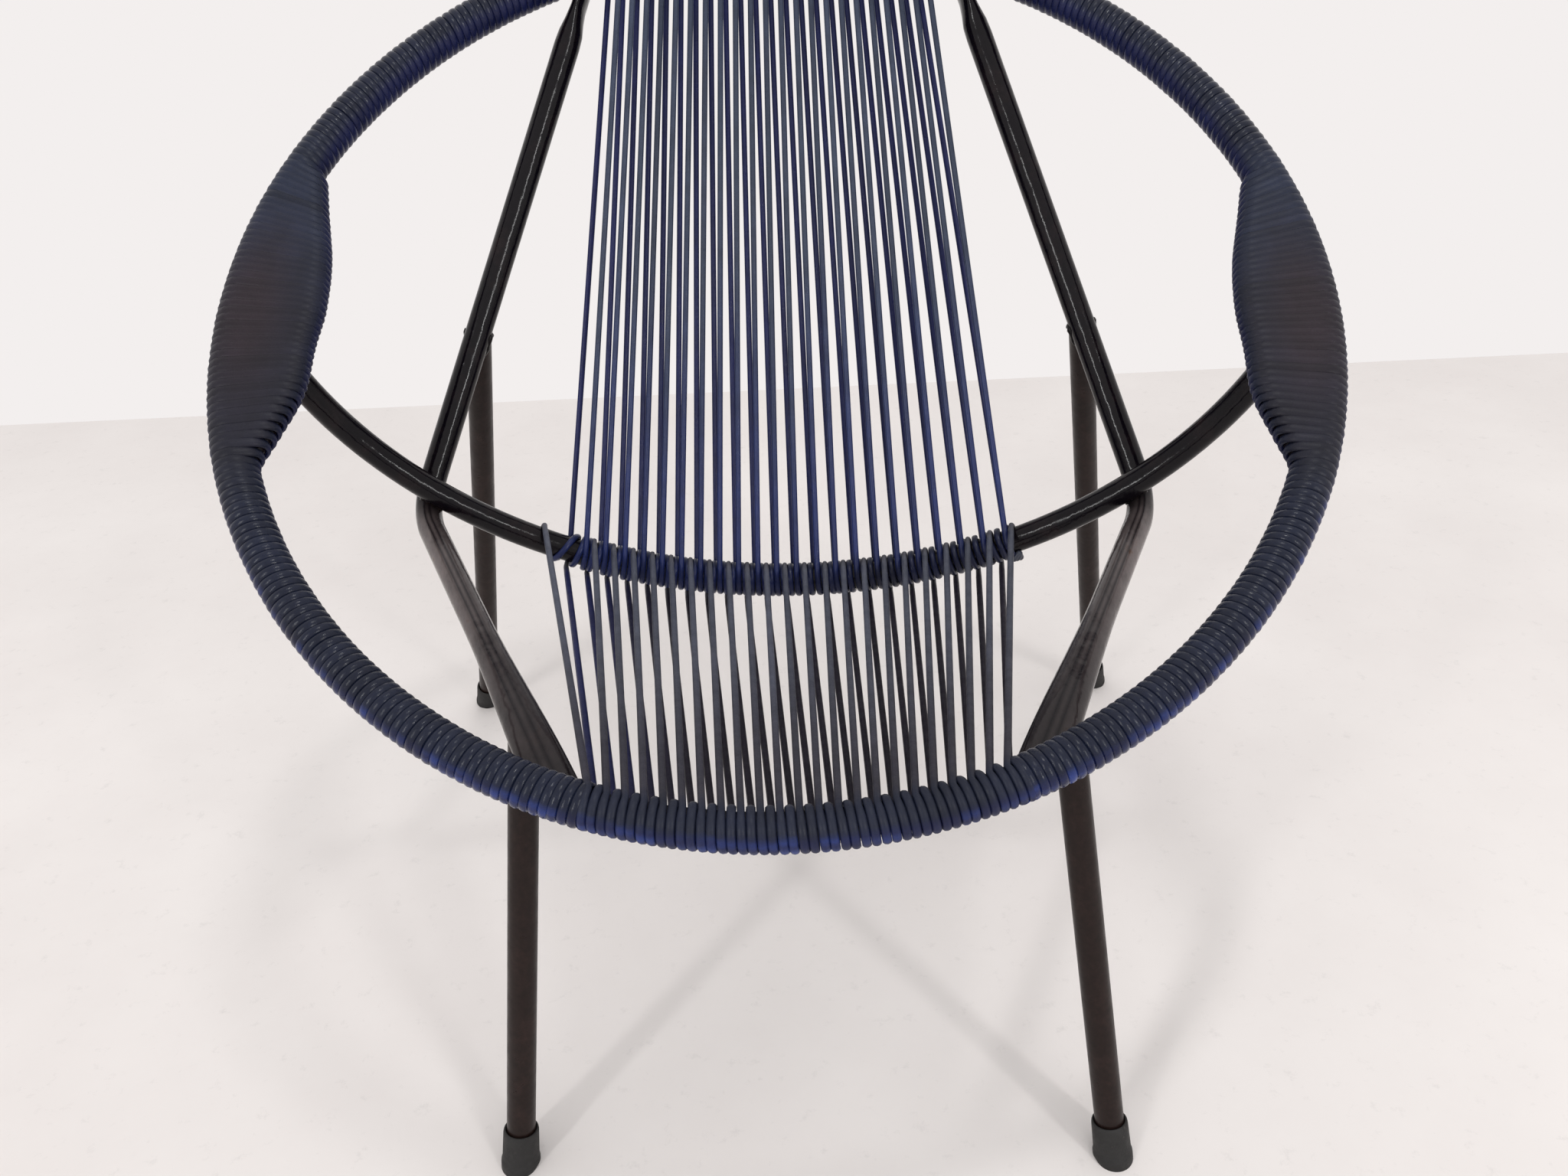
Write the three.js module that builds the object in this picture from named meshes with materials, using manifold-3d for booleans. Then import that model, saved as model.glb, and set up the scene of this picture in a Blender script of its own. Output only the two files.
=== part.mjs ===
import * as THREE from 'three';
import { mergeVertices } from 'three/addons/utils/BufferGeometryUtils.js';
import Module from 'manifold-3d';

const wasm = await Module();
wasm.setup();

const degrees = THREE.MathUtils.degToRad;

// Lengths are millimetres, +Z is up and the sitter faces -Y.
// Left and right are as seen from the front. Angles along the hoop run from its right side (0)
// over the back (90) to the left side (180) and the front (270); the right half counts likewise.

// Steel tube, its pressed ends and the gap at each weld
const tubeDiameter = 20;
const armBowDiameter = 14;
const flatEndWidth = 26;
const flatEndThickness = 11;
const flatEndLength = 46;
const weldGap = 0.3;

// Hoop: a tilted oval, drawn in slightly towards the back
const hoopHalfWidth = 362;
const hoopHalfLength = 349;
const hoopTilt = degrees(36);
const hoopCentreY = 3.6;
const hoopCentreZ = 526.6;
const hoopEggShare = -0.0126;

// Crossbar: one oval arc that hangs from both sides of the hoop
const crossbarLeftAngle = degrees(175);
const crossbarRightAngle = degrees(181);
const crossbarSweep = degrees(82);
const crossbarLowY = 60;
const crossbarLowZ = 283;
const crossbarInset = 5;

// Side rails: from under the back of the hoop, round a bend below the crossbar, to the front.
// They pass the crossbar this far in from the hoop's sides.
const leftRailTopAngle = degrees(112);
const rightRailTopAngle = degrees(116);
const leftRailFrontAngle = degrees(248.2);
const rightRailFrontAngle = degrees(247.5);
const leftRailInset = 101;
const rightRailInset = 97;
const railBendReach = 34;
const railTopDrop = 14;

// Legs: how far in from the hoop's sides and ends each foot stands, and where the leg meets its rail
const frontFootInset = 153;
const leftRearFootInset = 28;
const rightRearFootInset = 37;
const leftFrontFootSetback = 93;
const rightFrontFootSetback = 77;
const leftRearFootSetback = 43;
const rightRearFootSetback = 61;
const frontLegRailShare = 0.78;
const rearLegRailShare = 0.34;

// Rubber foot caps
const capHeight = 30;
const capFloor = 5;
const capTopDiameter = 25;
const capBaseDiameter = 27.4;
const capEdge = 2;
const capRoll = 1;
const capTrim = 4;

// Cord, wound on the hoop and strung as back and seat. Both strung cords have the same number of
// loops on the crossbar, where each gap is wider than the one to its left by crossbarPitchGrowth.
const cordDiameter = 4.6;
const windingThickness = 4;
const windingGroove = 1.3;
const strungLoops = 23;
const backHoopPitch = 11.2;
const backHoopShift = 8;
const seatHoopPitch = 11.2;
const seatHoopShift = 2;
const crossbarPitch = 15.6;
const crossbarPitchGrowth = 0.12;
const crossbarShift = 5.3;
const seatLoopReach = 6.2;
const firstSeatLoopReach = 18;

// Armrests: where each inner bow starts and ends along the hoop, and how far it reaches inwards
const leftArmStartAngle = degrees(153.5);
const leftArmEndAngle = degrees(198.5);
const leftArmReach = 47;
const rightArmStartAngle = degrees(162);
const rightArmEndAngle = degrees(205);
const rightArmReach = 43;
const armProfileShares = [[0, 0.06], [0.1, 0.3], [0.3, 0.81], [0.47, 1], [0.62, 0.94], [0.77, 0.81],
  [0.88, 0.47], [1, 0.1]];

// Facets
const hoopStations = 64;
const hoopSides = 8;
const tubeSides = 12;
const cordSides = 5;
const wrapSteps = 4;
const ribsPerSide = 54;
const windingStartStation = 20;
const windingEndStation = 44;
const crossbarSteps = 36;
const bowSteps = 18;
const bendSteps = 8;
const flatEndSteps = 3;
const flatEndEase = 1.5;
const profileSteps = 48;
const cornerPasses = 4;
const arcStep = degrees(0.1);
const gapSkipShare = 4;

const tubeRadius = tubeDiameter / 2;
const cordRadius = cordDiameter / 2;
const bowRadius = armBowDiameter / 2;
const hoopCutRadius = tubeRadius + weldGap / Math.cos(Math.PI / hoopSides);
const tubeCutRadius = (tubeRadius + weldGap) / Math.cos(Math.PI / tubeSides);

const steel = new THREE.MeshStandardMaterial({ color: 0x0b0a0c, roughness: 0.3, metalness: 0.4 });
const legSteel = new THREE.MeshStandardMaterial({ color: 0x171312, roughness: 0.45, metalness: 0.3 });
const windingCord = new THREE.MeshStandardMaterial({ color: 0x1c2740, roughness: 0.45 });
const backCord = new THREE.MeshStandardMaterial({ color: 0x232f58, roughness: 0.4 });
const seatCord = new THREE.MeshStandardMaterial({ color: 0x454c5e, roughness: 0.5 });
const rubber = new THREE.MeshStandardMaterial({ color: 0x121212, roughness: 0.8 });

const chair = new THREE.Group();

// Each side of the chair: its name, the sign of its X and the sizes that differ
const sides = [
  {
    word: 'left',
    sign: -1,
    railTopAngle: leftRailTopAngle,
    railFrontAngle: leftRailFrontAngle,
    railCrossing: hoopHalfWidth - leftRailInset,
    frontFootY: leftFrontFootSetback - hoopHalfLength,
    rearFootX: hoopHalfWidth - leftRearFootInset,
    rearFootY: hoopHalfLength - leftRearFootSetback,
    arm: { start: leftArmStartAngle, end: leftArmEndAngle, reach: leftArmReach },
  },
  {
    word: 'right',
    sign: 1,
    railTopAngle: rightRailTopAngle,
    railFrontAngle: rightRailFrontAngle,
    railCrossing: hoopHalfWidth - rightRailInset,
    frontFootY: rightFrontFootSetback - hoopHalfLength,
    rearFootX: hoopHalfWidth - rightRearFootInset,
    rearFootY: hoopHalfLength - rightRearFootSetback,
    arm: { start: rightArmStartAngle, end: rightArmEndAngle, reach: rightArmReach },
  },
];

// Closed solids from rings of points, and booleans between solids

function signedVolume(positions, index) {
  const a = new THREE.Vector3();
  const b = new THREE.Vector3();
  const c = new THREE.Vector3();
  let sum = 0;
  for (let i = 0; i < index.length; i += 3) {
    a.fromArray(positions, 3 * index[i]);
    b.fromArray(positions, 3 * index[i + 1]);
    c.fromArray(positions, 3 * index[i + 2]);
    sum += a.dot(b.cross(c));
  }
  return sum / 6;
}

function closedGeometry(points, index) {
  const positions = points.flatMap((point) => point.toArray());
  if (signedVolume(positions, index) < 0) {
    for (let i = 0; i < index.length; i += 3) {
      [index[i + 1], index[i + 2]] = [index[i + 2], index[i + 1]];
    }
  }
  const geometry = new THREE.BufferGeometry();
  geometry.setAttribute('position', new THREE.Float32BufferAttribute(positions, 3));
  geometry.setIndex(index);
  return geometry;
}

function joinRings(index, first, second, count) {
  for (let j = 0; j < count; j += 1) {
    const next = (j + 1) % count;
    index.push(first + j, first + next, second + next);
    index.push(first + j, second + next, second + j);
  }
}

function fillRing(index, first, count, reversed) {
  for (let j = 1; j < count - 1; j += 1) {
    const pair = reversed ? [j + 1, j] : [j, j + 1];
    index.push(first, first + pair[0], first + pair[1]);
  }
}

function loft(rings, isLoop) {
  const count = rings[0].length;
  const index = [];
  const spans = isLoop ? rings.length : rings.length - 1;
  for (let k = 0; k < spans; k += 1) {
    joinRings(index, k * count, ((k + 1) % rings.length) * count, count);
  }
  if (!isLoop) {
    fillRing(index, 0, count, true);
    fillRing(index, (rings.length - 1) * count, count, false);
  }
  return closedGeometry(rings.flat(), index);
}

function sleeve(outerRings, boreRings) {
  const count = outerRings[0].length;
  const boreStart = outerRings.length * count;
  const outerEnd = boreStart - count;
  const boreEnd = boreStart + (boreRings.length - 1) * count;
  const index = [];
  for (let k = 0; k + 1 < outerRings.length; k += 1) {
    joinRings(index, k * count, (k + 1) * count, count);
  }
  for (let k = 0; k + 1 < boreRings.length; k += 1) {
    joinRings(index, boreStart + (k + 1) * count, boreStart + k * count, count);
  }
  joinRings(index, boreStart, 0, count);
  joinRings(index, outerEnd, boreEnd, count);
  return closedGeometry([...outerRings.flat(), ...boreRings.flat()], index);
}

function solid(geometry) {
  const bare = geometry.clone();
  bare.deleteAttribute('normal');
  bare.deleteAttribute('uv');
  const merged = mergeVertices(bare);
  const vertProperties = new Float32Array(merged.attributes.position.array);
  const triVerts = new Uint32Array(merged.index.array);
  return new wasm.Manifold(new wasm.Mesh({ numProp: 3, vertProperties, triVerts }));
}

function cut(geometry, ...cutters) {
  let body = solid(geometry);
  for (const cutter of cutters) {
    body = body.subtract(solid(cutter));
  }
  const { vertProperties, triVerts } = body.getMesh();
  const result = new THREE.BufferGeometry();
  result.setAttribute('position', new THREE.BufferAttribute(new Float32Array(vertProperties), 3));
  result.setIndex(new THREE.BufferAttribute(new Uint32Array(triVerts), 1));
  return result;
}

function addPiece(name, geometry, material) {
  const mesh = new THREE.Mesh(geometry, material);
  mesh.name = name;
  mesh.geometry.computeVertexNormals();
  chair.add(mesh);
}

// Curves of the frame

function onSide(point, sign) {
  return new THREE.Vector3(sign * Math.abs(point.x), point.y, point.z);
}

const hoopNormal = new THREE.Vector3(0, -Math.sin(hoopTilt), Math.cos(hoopTilt));

function hoopPlace(across, along) {
  const y = hoopCentreY + along * Math.cos(hoopTilt);
  const z = hoopCentreZ + along * Math.sin(hoopTilt);
  return new THREE.Vector3(across, y, z);
}

function hoopAt(angle) {
  const narrowing = 1 + hoopEggShare * Math.sin(angle);
  const across = hoopHalfWidth * Math.cos(angle) * narrowing;
  return hoopPlace(across, hoopHalfLength * Math.sin(angle));
}

function hoopFrame(angle) {
  const centre = hoopAt(angle);
  const tangent = hoopPlace(-hoopHalfWidth * Math.sin(angle), hoopHalfLength * Math.cos(angle));
  tangent.sub(hoopPlace(0, 0)).normalize();
  const inward = new THREE.Vector3().crossVectors(hoopNormal, tangent);
  return { centre, tangent, inward };
}

function hoopAngleAtArc(startAngle, arc) {
  const step = arcStep * Math.sign(arc);
  let angle = startAngle;
  let travelled = 0;
  while (travelled < Math.abs(arc)) {
    travelled += hoopAt(angle).distanceTo(hoopAt(angle + step));
    angle += step;
  }
  return angle;
}

const crossbarLeft = hoopAt(crossbarLeftAngle);
const crossbarRight = onSide(hoopAt(crossbarRightAngle), 1);
const crossbarHalfSpan = crossbarLeft.distanceTo(crossbarRight) / 2;
const crossbarAcross = crossbarRight.clone().sub(crossbarLeft).normalize();
const crossbarMiddle = crossbarLeft.clone().lerp(crossbarRight, 0.5);
const crossbarRise = crossbarMiddle.clone().sub(new THREE.Vector3(0, crossbarLowY, crossbarLowZ));
crossbarRise.addScaledVector(crossbarAcross, -crossbarRise.dot(crossbarAcross));
const crossbarDepth = crossbarRise.length();
crossbarRise.normalize();
const crossbarLow = crossbarMiddle.clone().addScaledVector(crossbarRise, -crossbarDepth);
const crossbarWideRadius = crossbarHalfSpan / Math.sin(crossbarSweep);
const crossbarDeepRadius = crossbarDepth / (1 - Math.cos(crossbarSweep));

function crossbarAt(angle) {
  const point = crossbarLow.clone();
  point.addScaledVector(crossbarAcross, crossbarWideRadius * Math.sin(angle));
  return point.addScaledVector(crossbarRise, crossbarDeepRadius * (1 - Math.cos(angle)));
}

function crossbarTangent(angle) {
  const tangent = crossbarRise.clone().multiplyScalar(crossbarDeepRadius * Math.sin(angle));
  return tangent.addScaledVector(crossbarAcross, crossbarWideRadius * Math.cos(angle)).normalize();
}

function crossbarAngleAt(place) {
  return Math.asin(place / crossbarWideRadius);
}

// Round tubes through a list of points

function ellipseRing(centre, first, second, firstRadius, secondRadius, count) {
  const ring = [];
  for (let j = 0; j < count; j += 1) {
    const turn = (2 * Math.PI * (j + 0.5)) / count;
    const point = centre.clone().addScaledVector(first, firstRadius * Math.cos(turn));
    ring.push(point.addScaledVector(second, secondRadius * Math.sin(turn)));
  }
  return ring;
}

function directions(points) {
  return points.map((point, k) => {
    const before = points[Math.max(k - 1, 0)];
    const after = points[Math.min(k + 1, points.length - 1)];
    const incoming = point.clone().sub(before).normalize();
    const outgoing = after.clone().sub(point).normalize();
    return incoming.add(outgoing).normalize();
  });
}

function squareTo(vector, direction) {
  return vector.clone().addScaledVector(direction, -vector.dot(direction)).normalize();
}

function tubeThrough(points, radius, count, startSide) {
  const along = directions(points);
  const side = squareTo(startSide, along[0]);
  const rings = points.map((point, k) => {
    if (k > 0) {
      const turn = new THREE.Quaternion().setFromUnitVectors(along[k - 1], along[k]);
      side.applyQuaternion(turn);
    }
    const other = new THREE.Vector3().crossVectors(along[k], side);
    return ellipseRing(point, side, other, radius, radius, count);
  });
  return loft(rings, false);
}

function rod(start, end, radius) {
  const length = start.distanceTo(end);
  const geometry = new THREE.CylinderGeometry(radius, radius, length, tubeSides);
  const direction = end.clone().sub(start).normalize();
  const turn = new THREE.Quaternion().setFromUnitVectors(new THREE.Vector3(0, 1, 0), direction);
  geometry.applyQuaternion(turn);
  const middle = start.clone().lerp(end, 0.5);
  return geometry.translate(middle.x, middle.y, middle.z);
}

// Hoop tube

function hoopStationAngle(station) {
  return (2 * Math.PI * station) / hoopStations;
}

function hoopRing(angle, radius) {
  const { centre, inward } = hoopFrame(angle);
  return ellipseRing(centre, inward, hoopNormal, radius, radius, hoopSides);
}

function hoopTube(radius) {
  const rings = [];
  for (let k = 0; k < hoopStations; k += 1) {
    rings.push(hoopRing(hoopStationAngle(k), radius));
  }
  return loft(rings, true);
}

const hoopCutter = hoopTube(hoopCutRadius);
addPiece('hoop_tube', hoopTube(tubeRadius), steel);

// Crossbar, coped to the hoop at both ends

function crossbarTube(radius) {
  const reach = crossbarSweep - crossbarInset / crossbarDeepRadius;
  const points = [];
  for (let k = 0; k <= crossbarSteps; k += 1) {
    points.push(crossbarAt(reach * ((2 * k) / crossbarSteps - 1)));
  }
  return tubeThrough(points, radius, tubeSides, crossbarRise);
}

const crossbarCutter = crossbarTube(tubeCutRadius);
addPiece('crossbar_tube', cut(crossbarTube(tubeRadius), hoopCutter), steel);

// Side rails

function makeRail({ sign, railTopAngle, railFrontAngle, railCrossing }) {
  const top = hoopFrame(railTopAngle).centre.addScaledVector(hoopNormal, -railTopDrop);
  const frontDrop = tubeRadius + weldGap + flatEndThickness / 2;
  const front = hoopFrame(railFrontAngle).centre.addScaledVector(hoopNormal, -frontDrop);
  const rail = { top: onSide(top, sign), front: onSide(front, sign) };
  const crossingAngle = crossbarAngleAt(sign * railCrossing);
  const crossing = crossbarAt(crossingAngle);
  const barTangent = crossbarTangent(crossingAngle);
  rail.corner = crossing.clone();
  for (let pass = 0; pass < cornerPasses; pass += 1) {
    rail.up = rail.top.clone().sub(rail.corner).normalize();
    rail.forward = rail.front.clone().sub(rail.corner).normalize();
    const inside = rail.up.clone().add(rail.forward);
    const bendRound = (railBendReach * inside.length()) / 4;
    const away = tubeDiameter + weldGap + bendRound;
    rail.corner.copy(crossing).addScaledVector(squareTo(inside, barTangent), -away);
  }
  return rail;
}

function pressed(point, amount, acrossSize, uprightSize) {
  const ease = Math.min(1, amount * flatEndEase);
  const acrossRadius = THREE.MathUtils.lerp(tubeRadius, acrossSize / 2, ease);
  const uprightRadius = THREE.MathUtils.lerp(tubeRadius, uprightSize / 2, ease);
  return { point, acrossRadius, uprightRadius };
}

function railStops(rail) {
  const flatTop = rail.top.clone().addScaledVector(rail.up, -flatEndLength);
  const flatFront = rail.front.clone().addScaledVector(rail.forward, -flatEndLength);
  const bendTop = rail.corner.clone().addScaledVector(rail.up, railBendReach);
  const bendFront = rail.corner.clone().addScaledVector(rail.forward, railBendReach);
  const bend = new THREE.QuadraticBezierCurve3(bendTop, rail.corner, bendFront);
  const stops = [];
  for (let k = 0; k <= flatEndSteps; k += 1) {
    const point = rail.top.clone().lerp(flatTop, k / flatEndSteps);
    stops.push(pressed(point, 1 - k / flatEndSteps, flatEndThickness, flatEndWidth));
  }
  for (const point of bend.getPoints(bendSteps)) {
    stops.push(pressed(point, 0, tubeDiameter, tubeDiameter));
  }
  for (let k = 0; k <= flatEndSteps; k += 1) {
    const point = flatFront.clone().lerp(rail.front, k / flatEndSteps);
    stops.push(pressed(point, k / flatEndSteps, flatEndWidth, flatEndThickness));
  }
  return stops;
}

function railTube(rail, growth) {
  const stops = railStops(rail);
  const along = directions(stops.map((stop) => stop.point));
  const rings = stops.map((stop, k) => {
    const across = squareTo(new THREE.Vector3(1, 0, 0), along[k]);
    const upright = new THREE.Vector3().crossVectors(along[k], across);
    const acrossRadius = stop.acrossRadius + growth;
    const uprightRadius = stop.uprightRadius + growth;
    return ellipseRing(stop.point, across, upright, acrossRadius, uprightRadius, tubeSides);
  });
  return loft(rings, false);
}

for (const side of sides) {
  side.rail = makeRail(side);
  side.railCutter = railTube(side.rail, tubeCutRadius - tubeRadius);
  const tube = cut(railTube(side.rail, 0), hoopCutter, crossbarCutter);
  addPiece(`side_rail_${side.word}`, tube, steel);
}

// Legs, coped to the rails, each standing in a rubber cap

function capShell(foot, direction) {
  const top = capTopDiameter / 2;
  const base = capBaseDiameter / 2;
  const profile = [
    new THREE.Vector2(0, -capTrim),
    new THREE.Vector2(base, -capTrim),
    new THREE.Vector2(base, capEdge),
    new THREE.Vector2(top, capHeight - capEdge),
    new THREE.Vector2(top - capRoll, capHeight),
    new THREE.Vector2(tubeCutRadius, capHeight),
    new THREE.Vector2(tubeCutRadius, capFloor),
    new THREE.Vector2(0, capFloor),
  ];
  const geometry = new THREE.LatheGeometry(profile, tubeSides);
  const turn = new THREE.Quaternion().setFromUnitVectors(new THREE.Vector3(0, 1, 0), direction);
  geometry.applyQuaternion(turn);
  geometry.translate(foot.x, foot.y, foot.z);
  const below = new THREE.BoxGeometry(2 * capBaseDiameter, 2 * capBaseDiameter, capHeight);
  below.translate(foot.x, foot.y, -capHeight / 2);
  return cut(geometry, below);
}

function addLeg(name, side, foot, meeting) {
  const direction = meeting.clone().sub(foot).normalize();
  const start = foot.clone().addScaledVector(direction, capFloor + weldGap);
  const leg = cut(rod(start, meeting, tubeRadius), side.railCutter);
  addPiece(`${name}_leg_${side.word}`, leg, legSteel);
  addPiece(`foot_cap_${name}_${side.word}`, capShell(foot, direction), rubber);
}

const frontFootX = hoopHalfWidth - frontFootInset;

for (const side of sides) {
  const { corner, front, top } = side.rail;
  const frontFoot = new THREE.Vector3(side.sign * frontFootX, side.frontFootY, 0);
  const rearFoot = new THREE.Vector3(side.sign * side.rearFootX, side.rearFootY, 0);
  addLeg('front', side, frontFoot, corner.clone().lerp(front, frontLegRailShare));
  addLeg('rear', side, rearFoot, corner.clone().lerp(top, rearLegRailShare));
}

// Armrests: a bowed tube inside the hoop, wound over together with it

const armProfile = new THREE.SplineCurve(
  armProfileShares.map(([place, reach]) => new THREE.Vector2(place, reach)),
);
const armProfilePoints = armProfile.getPoints(profileSteps);

function bowOffset(angle, arm) {
  const place = (angle - arm.start) / (arm.end - arm.start);
  if (place < 0 || place > 1) {
    return 0;
  }
  const after = Math.max(1, armProfilePoints.findIndex((point) => point.x >= place));
  const low = armProfilePoints[after - 1];
  const high = armProfilePoints[after];
  return arm.reach * THREE.MathUtils.mapLinear(place, low.x, high.x, low.y, high.y);
}

function boreAngles(arm) {
  const angles = [];
  for (let k = 0; k <= bowSteps; k += 1) {
    angles.push(THREE.MathUtils.lerp(arm.start, arm.end, k / bowSteps));
  }
  for (let k = windingStartStation; k <= windingEndStation; k += 1) {
    angles.push(hoopStationAngle(k));
  }
  return angles.sort((first, second) => first - second);
}

function armBow({ arm, sign }) {
  const angles = boreAngles(arm).filter((angle) => angle >= arm.start && angle <= arm.end);
  const rings = angles.map((angle) => {
    const { centre, inward } = hoopFrame(angle);
    centre.addScaledVector(inward, bowOffset(angle, arm));
    const ring = ellipseRing(centre, inward, hoopNormal, bowRadius, bowRadius, hoopSides);
    return ring.map((point) => onSide(point, sign));
  });
  return loft(rings, false);
}

for (const side of sides) {
  addPiece(`arm_bow_${side.word}`, cut(armBow(side), hoopCutter), steel);
}

// Ribbed winding of the hoop, one length on each side

function spreadRing(ring, angle, side) {
  const { inward } = hoopFrame(angle);
  const offset = bowOffset(angle, side.arm);
  const spread = Math.max(0, offset + bowRadius + weldGap - tubeRadius);
  return ring.map((point, j) => {
    const isInner = Math.cos((2 * Math.PI * (j + 0.5)) / hoopSides) > 0;
    const moved = point.clone().addScaledVector(inward, isInner ? spread : 0);
    return onSide(moved, side.sign);
  });
}

function boreRing(angle, side) {
  const place = (angle / (2 * Math.PI)) * hoopStations;
  const before = hoopRing(hoopStationAngle(Math.floor(place)), hoopCutRadius);
  const after = hoopRing(hoopStationAngle(Math.floor(place) + 1), hoopCutRadius);
  const ring = before.map((point, j) => point.lerp(after[j], place - Math.floor(place)));
  return spreadRing(ring, angle, side);
}

function windingSleeve(side) {
  const from = hoopStationAngle(windingStartStation);
  const to = hoopStationAngle(windingEndStation);
  const crestRadius = tubeRadius + windingThickness;
  const outer = [];
  for (let k = 0; k <= 2 * ribsPerSide; k += 1) {
    const angle = THREE.MathUtils.lerp(from, to, k / (2 * ribsPerSide));
    const radius = k % 2 ? crestRadius : crestRadius - windingGroove;
    outer.push(spreadRing(hoopRing(angle, radius), angle, side));
  }
  return sleeve(outer, boreAngles(side.arm).map((angle) => boreRing(angle, side)));
}

for (const side of sides) {
  const winding = cut(windingSleeve(side), side.railCutter, crossbarCutter);
  addPiece(`hoop_winding_${side.word}`, winding, windingCord);
}

// Strung cord: one unbroken length zigzags between two tubes and passes half round each

function wrapPoints(centre, tangent, towards, shift) {
  const reach = squareTo(towards, tangent);
  const outward = new THREE.Vector3().crossVectors(tangent, reach);
  const radius = (tubeRadius + weldGap + cordRadius) / Math.cos(Math.PI / (2 * wrapSteps));
  const points = [];
  for (let k = 0; k <= wrapSteps; k += 1) {
    const turn = Math.PI / 2 + (Math.PI * k) / wrapSteps;
    const point = centre.clone().addScaledVector(reach, radius * Math.cos(turn));
    point.addScaledVector(outward, radius * Math.sin(turn));
    points.push(point.addScaledVector(tangent, shift * (k / wrapSteps)));
  }
  return points;
}

function strungCord(hoopAngles, barPlaces, hoopPitch) {
  const points = [];
  barPlaces.forEach((place, i) => {
    const barAngle = crossbarAngleAt(place);
    const barCentre = crossbarAt(barAngle);
    const bar = crossbarTangent(barAngle);
    const { centre, tangent } = hoopFrame(hoopAngles[i]);
    const towardsHoop = centre.clone().sub(barCentre);
    points.push(...wrapPoints(barCentre, bar, towardsHoop, 0));
    if (i + 1 < barPlaces.length) {
      tangent.multiplyScalar(Math.sign(tangent.dot(bar)));
      points.push(...wrapPoints(centre, tangent, towardsHoop.negate(), hoopPitch));
    }
  });
  return points;
}

function leastGap(points) {
  const samples = [];
  for (let k = 0; k + 1 < points.length; k += 1) {
    const pieces = Math.max(1, Math.round(points[k].distanceTo(points[k + 1]) / cordDiameter));
    for (let j = 0; j < pieces; j += 1) {
      samples.push(points[k].clone().lerp(points[k + 1], j / pieces));
    }
  }
  let least = Infinity;
  for (let i = 0; i < samples.length; i += 1) {
    let travelled = 0;
    for (let j = i + 1; j < samples.length; j += 1) {
      travelled += samples[j].distanceTo(samples[j - 1]);
      if (travelled > gapSkipShare * cordDiameter) {
        least = Math.min(least, samples[i].distanceTo(samples[j]));
      }
    }
  }
  return least - cordDiameter;
}

function loopPlaces(pitch, shift, growth) {
  const middle = (strungLoops - 1) / 2;
  return Array.from({ length: strungLoops }, (_, i) => {
    const steps = i - middle;
    return shift + steps * pitch + (growth / 2) * (steps * steps - middle * middle);
  });
}

const backPlaces = loopPlaces(crossbarPitch, crossbarShift, crossbarPitchGrowth);
const seatPlaces = backPlaces.map((place) => place + seatLoopReach);
seatPlaces[0] = backPlaces[0] - firstSeatLoopReach;

const backHoopAngles = loopPlaces(backHoopPitch, backHoopShift, 0)
  .map((place) => hoopAngleAtArc(Math.PI / 2, -place));
const seatHoopAngles = loopPlaces(seatHoopPitch, seatHoopShift, 0)
  .map((place) => hoopAngleAtArc((3 * Math.PI) / 2, place));

const backPath = strungCord(backHoopAngles, backPlaces, backHoopPitch);
const seatPath = strungCord(seatHoopAngles, seatPlaces, seatHoopPitch);
console.log('least gap in the back cord, mm:', leastGap(backPath).toFixed(2));
console.log('least gap in the seat cord, mm:', leastGap(seatPath).toFixed(2));

addPiece('back_strands', tubeThrough(backPath, cordRadius, cordSides, crossbarAcross), backCord);
addPiece('seat_strands', tubeThrough(seatPath, cordRadius, cordSides, crossbarAcross), seatCord);

// The origin is on the floor, under the middle of the chair
const extent = new THREE.Box3().setFromObject(chair);
const middle = extent.getCenter(new THREE.Vector3());
chair.position.set(-middle.x, -middle.y, 0);
chair.updateMatrixWorld(true);

export default chair;
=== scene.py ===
# Looks of the round string chair: its cord turn by turn, its lacquer, and the photograph's view
import math

import bpy
import numpy as np
from mathutils import Matrix, Vector


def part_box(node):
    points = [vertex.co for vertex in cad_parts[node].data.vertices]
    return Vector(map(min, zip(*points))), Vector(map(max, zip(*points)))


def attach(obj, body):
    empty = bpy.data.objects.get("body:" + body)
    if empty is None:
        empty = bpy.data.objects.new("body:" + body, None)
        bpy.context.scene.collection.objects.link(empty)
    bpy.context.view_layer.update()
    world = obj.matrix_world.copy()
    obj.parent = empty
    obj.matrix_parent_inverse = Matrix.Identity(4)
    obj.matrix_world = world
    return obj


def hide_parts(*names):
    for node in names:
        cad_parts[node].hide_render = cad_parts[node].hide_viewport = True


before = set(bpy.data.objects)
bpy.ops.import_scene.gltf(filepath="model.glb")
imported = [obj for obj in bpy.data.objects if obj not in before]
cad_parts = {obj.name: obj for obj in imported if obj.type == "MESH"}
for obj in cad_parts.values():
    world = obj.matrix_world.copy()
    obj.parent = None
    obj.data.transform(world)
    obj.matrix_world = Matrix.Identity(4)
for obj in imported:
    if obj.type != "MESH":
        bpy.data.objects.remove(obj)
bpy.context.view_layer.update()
MM = 0.001
SIDES = {-1: "left", 1: "right"}
rng = np.random.default_rng(7)

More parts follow.
